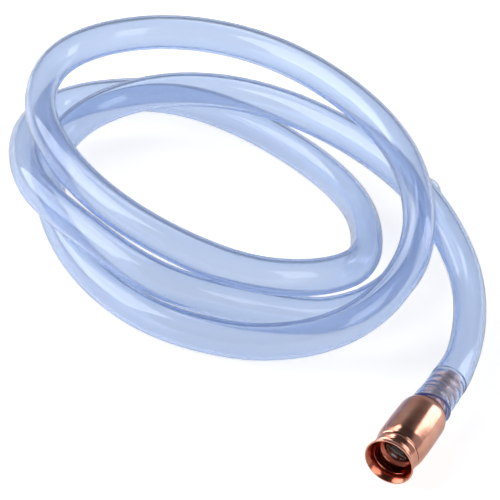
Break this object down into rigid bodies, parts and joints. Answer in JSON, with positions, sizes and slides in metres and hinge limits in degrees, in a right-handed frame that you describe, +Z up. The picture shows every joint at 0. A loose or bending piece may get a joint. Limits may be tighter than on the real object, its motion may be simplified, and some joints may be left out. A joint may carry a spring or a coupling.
{
  "type": "shaker siphon",
  "caption": "Self-priming shaker siphon: a coiled clear hose with a copper jiggle valve that holds a loose glass check ball.",
  "frame": {"origin": "bottom centre of the whole object's box at rest, on the surface the coil lies on", "axes": "+Z up through the coil; -Y towards the valve, which lies in front of the coil and points its mouth to -Y and a little to -X; +X to the side of the coil that the valve is on"},
  "size_m": [0.2174, 0.3094, 0.0535],
  "materials": {
    "clear_pvc": "clear, faintly blue, smooth",
    "polished_copper": "polished copper",
    "ball_glass": "clear glass marble",
    "spring_steel": "bright drawn wire"
  },
  "bodies": {
    "coil": {"hose_coil": "clear_pvc"},
    "lead": {"hose_lead": "clear_pvc", "valve_body": "polished_copper", "inlet_bell": "polished_copper", "ball_stop": "spring_steel"},
    "ball": {"check_ball": "ball_glass"}
  },
  "joints": [
    {"name": "hose_lift", "type": "hinge", "parent": "coil", "child": "lead", "pos_m": [0.10059, -0.0217, 0.02622], "axis": [-0.9858, -0.1676, 0], "range_deg": [0, 60]},
    {"name": "ball_travel", "type": "slide", "parent": "lead", "child": "ball", "axis": [0.4584, 0.8882, 0.0314], "range_m": [0, 0.0071]}
  ]
}
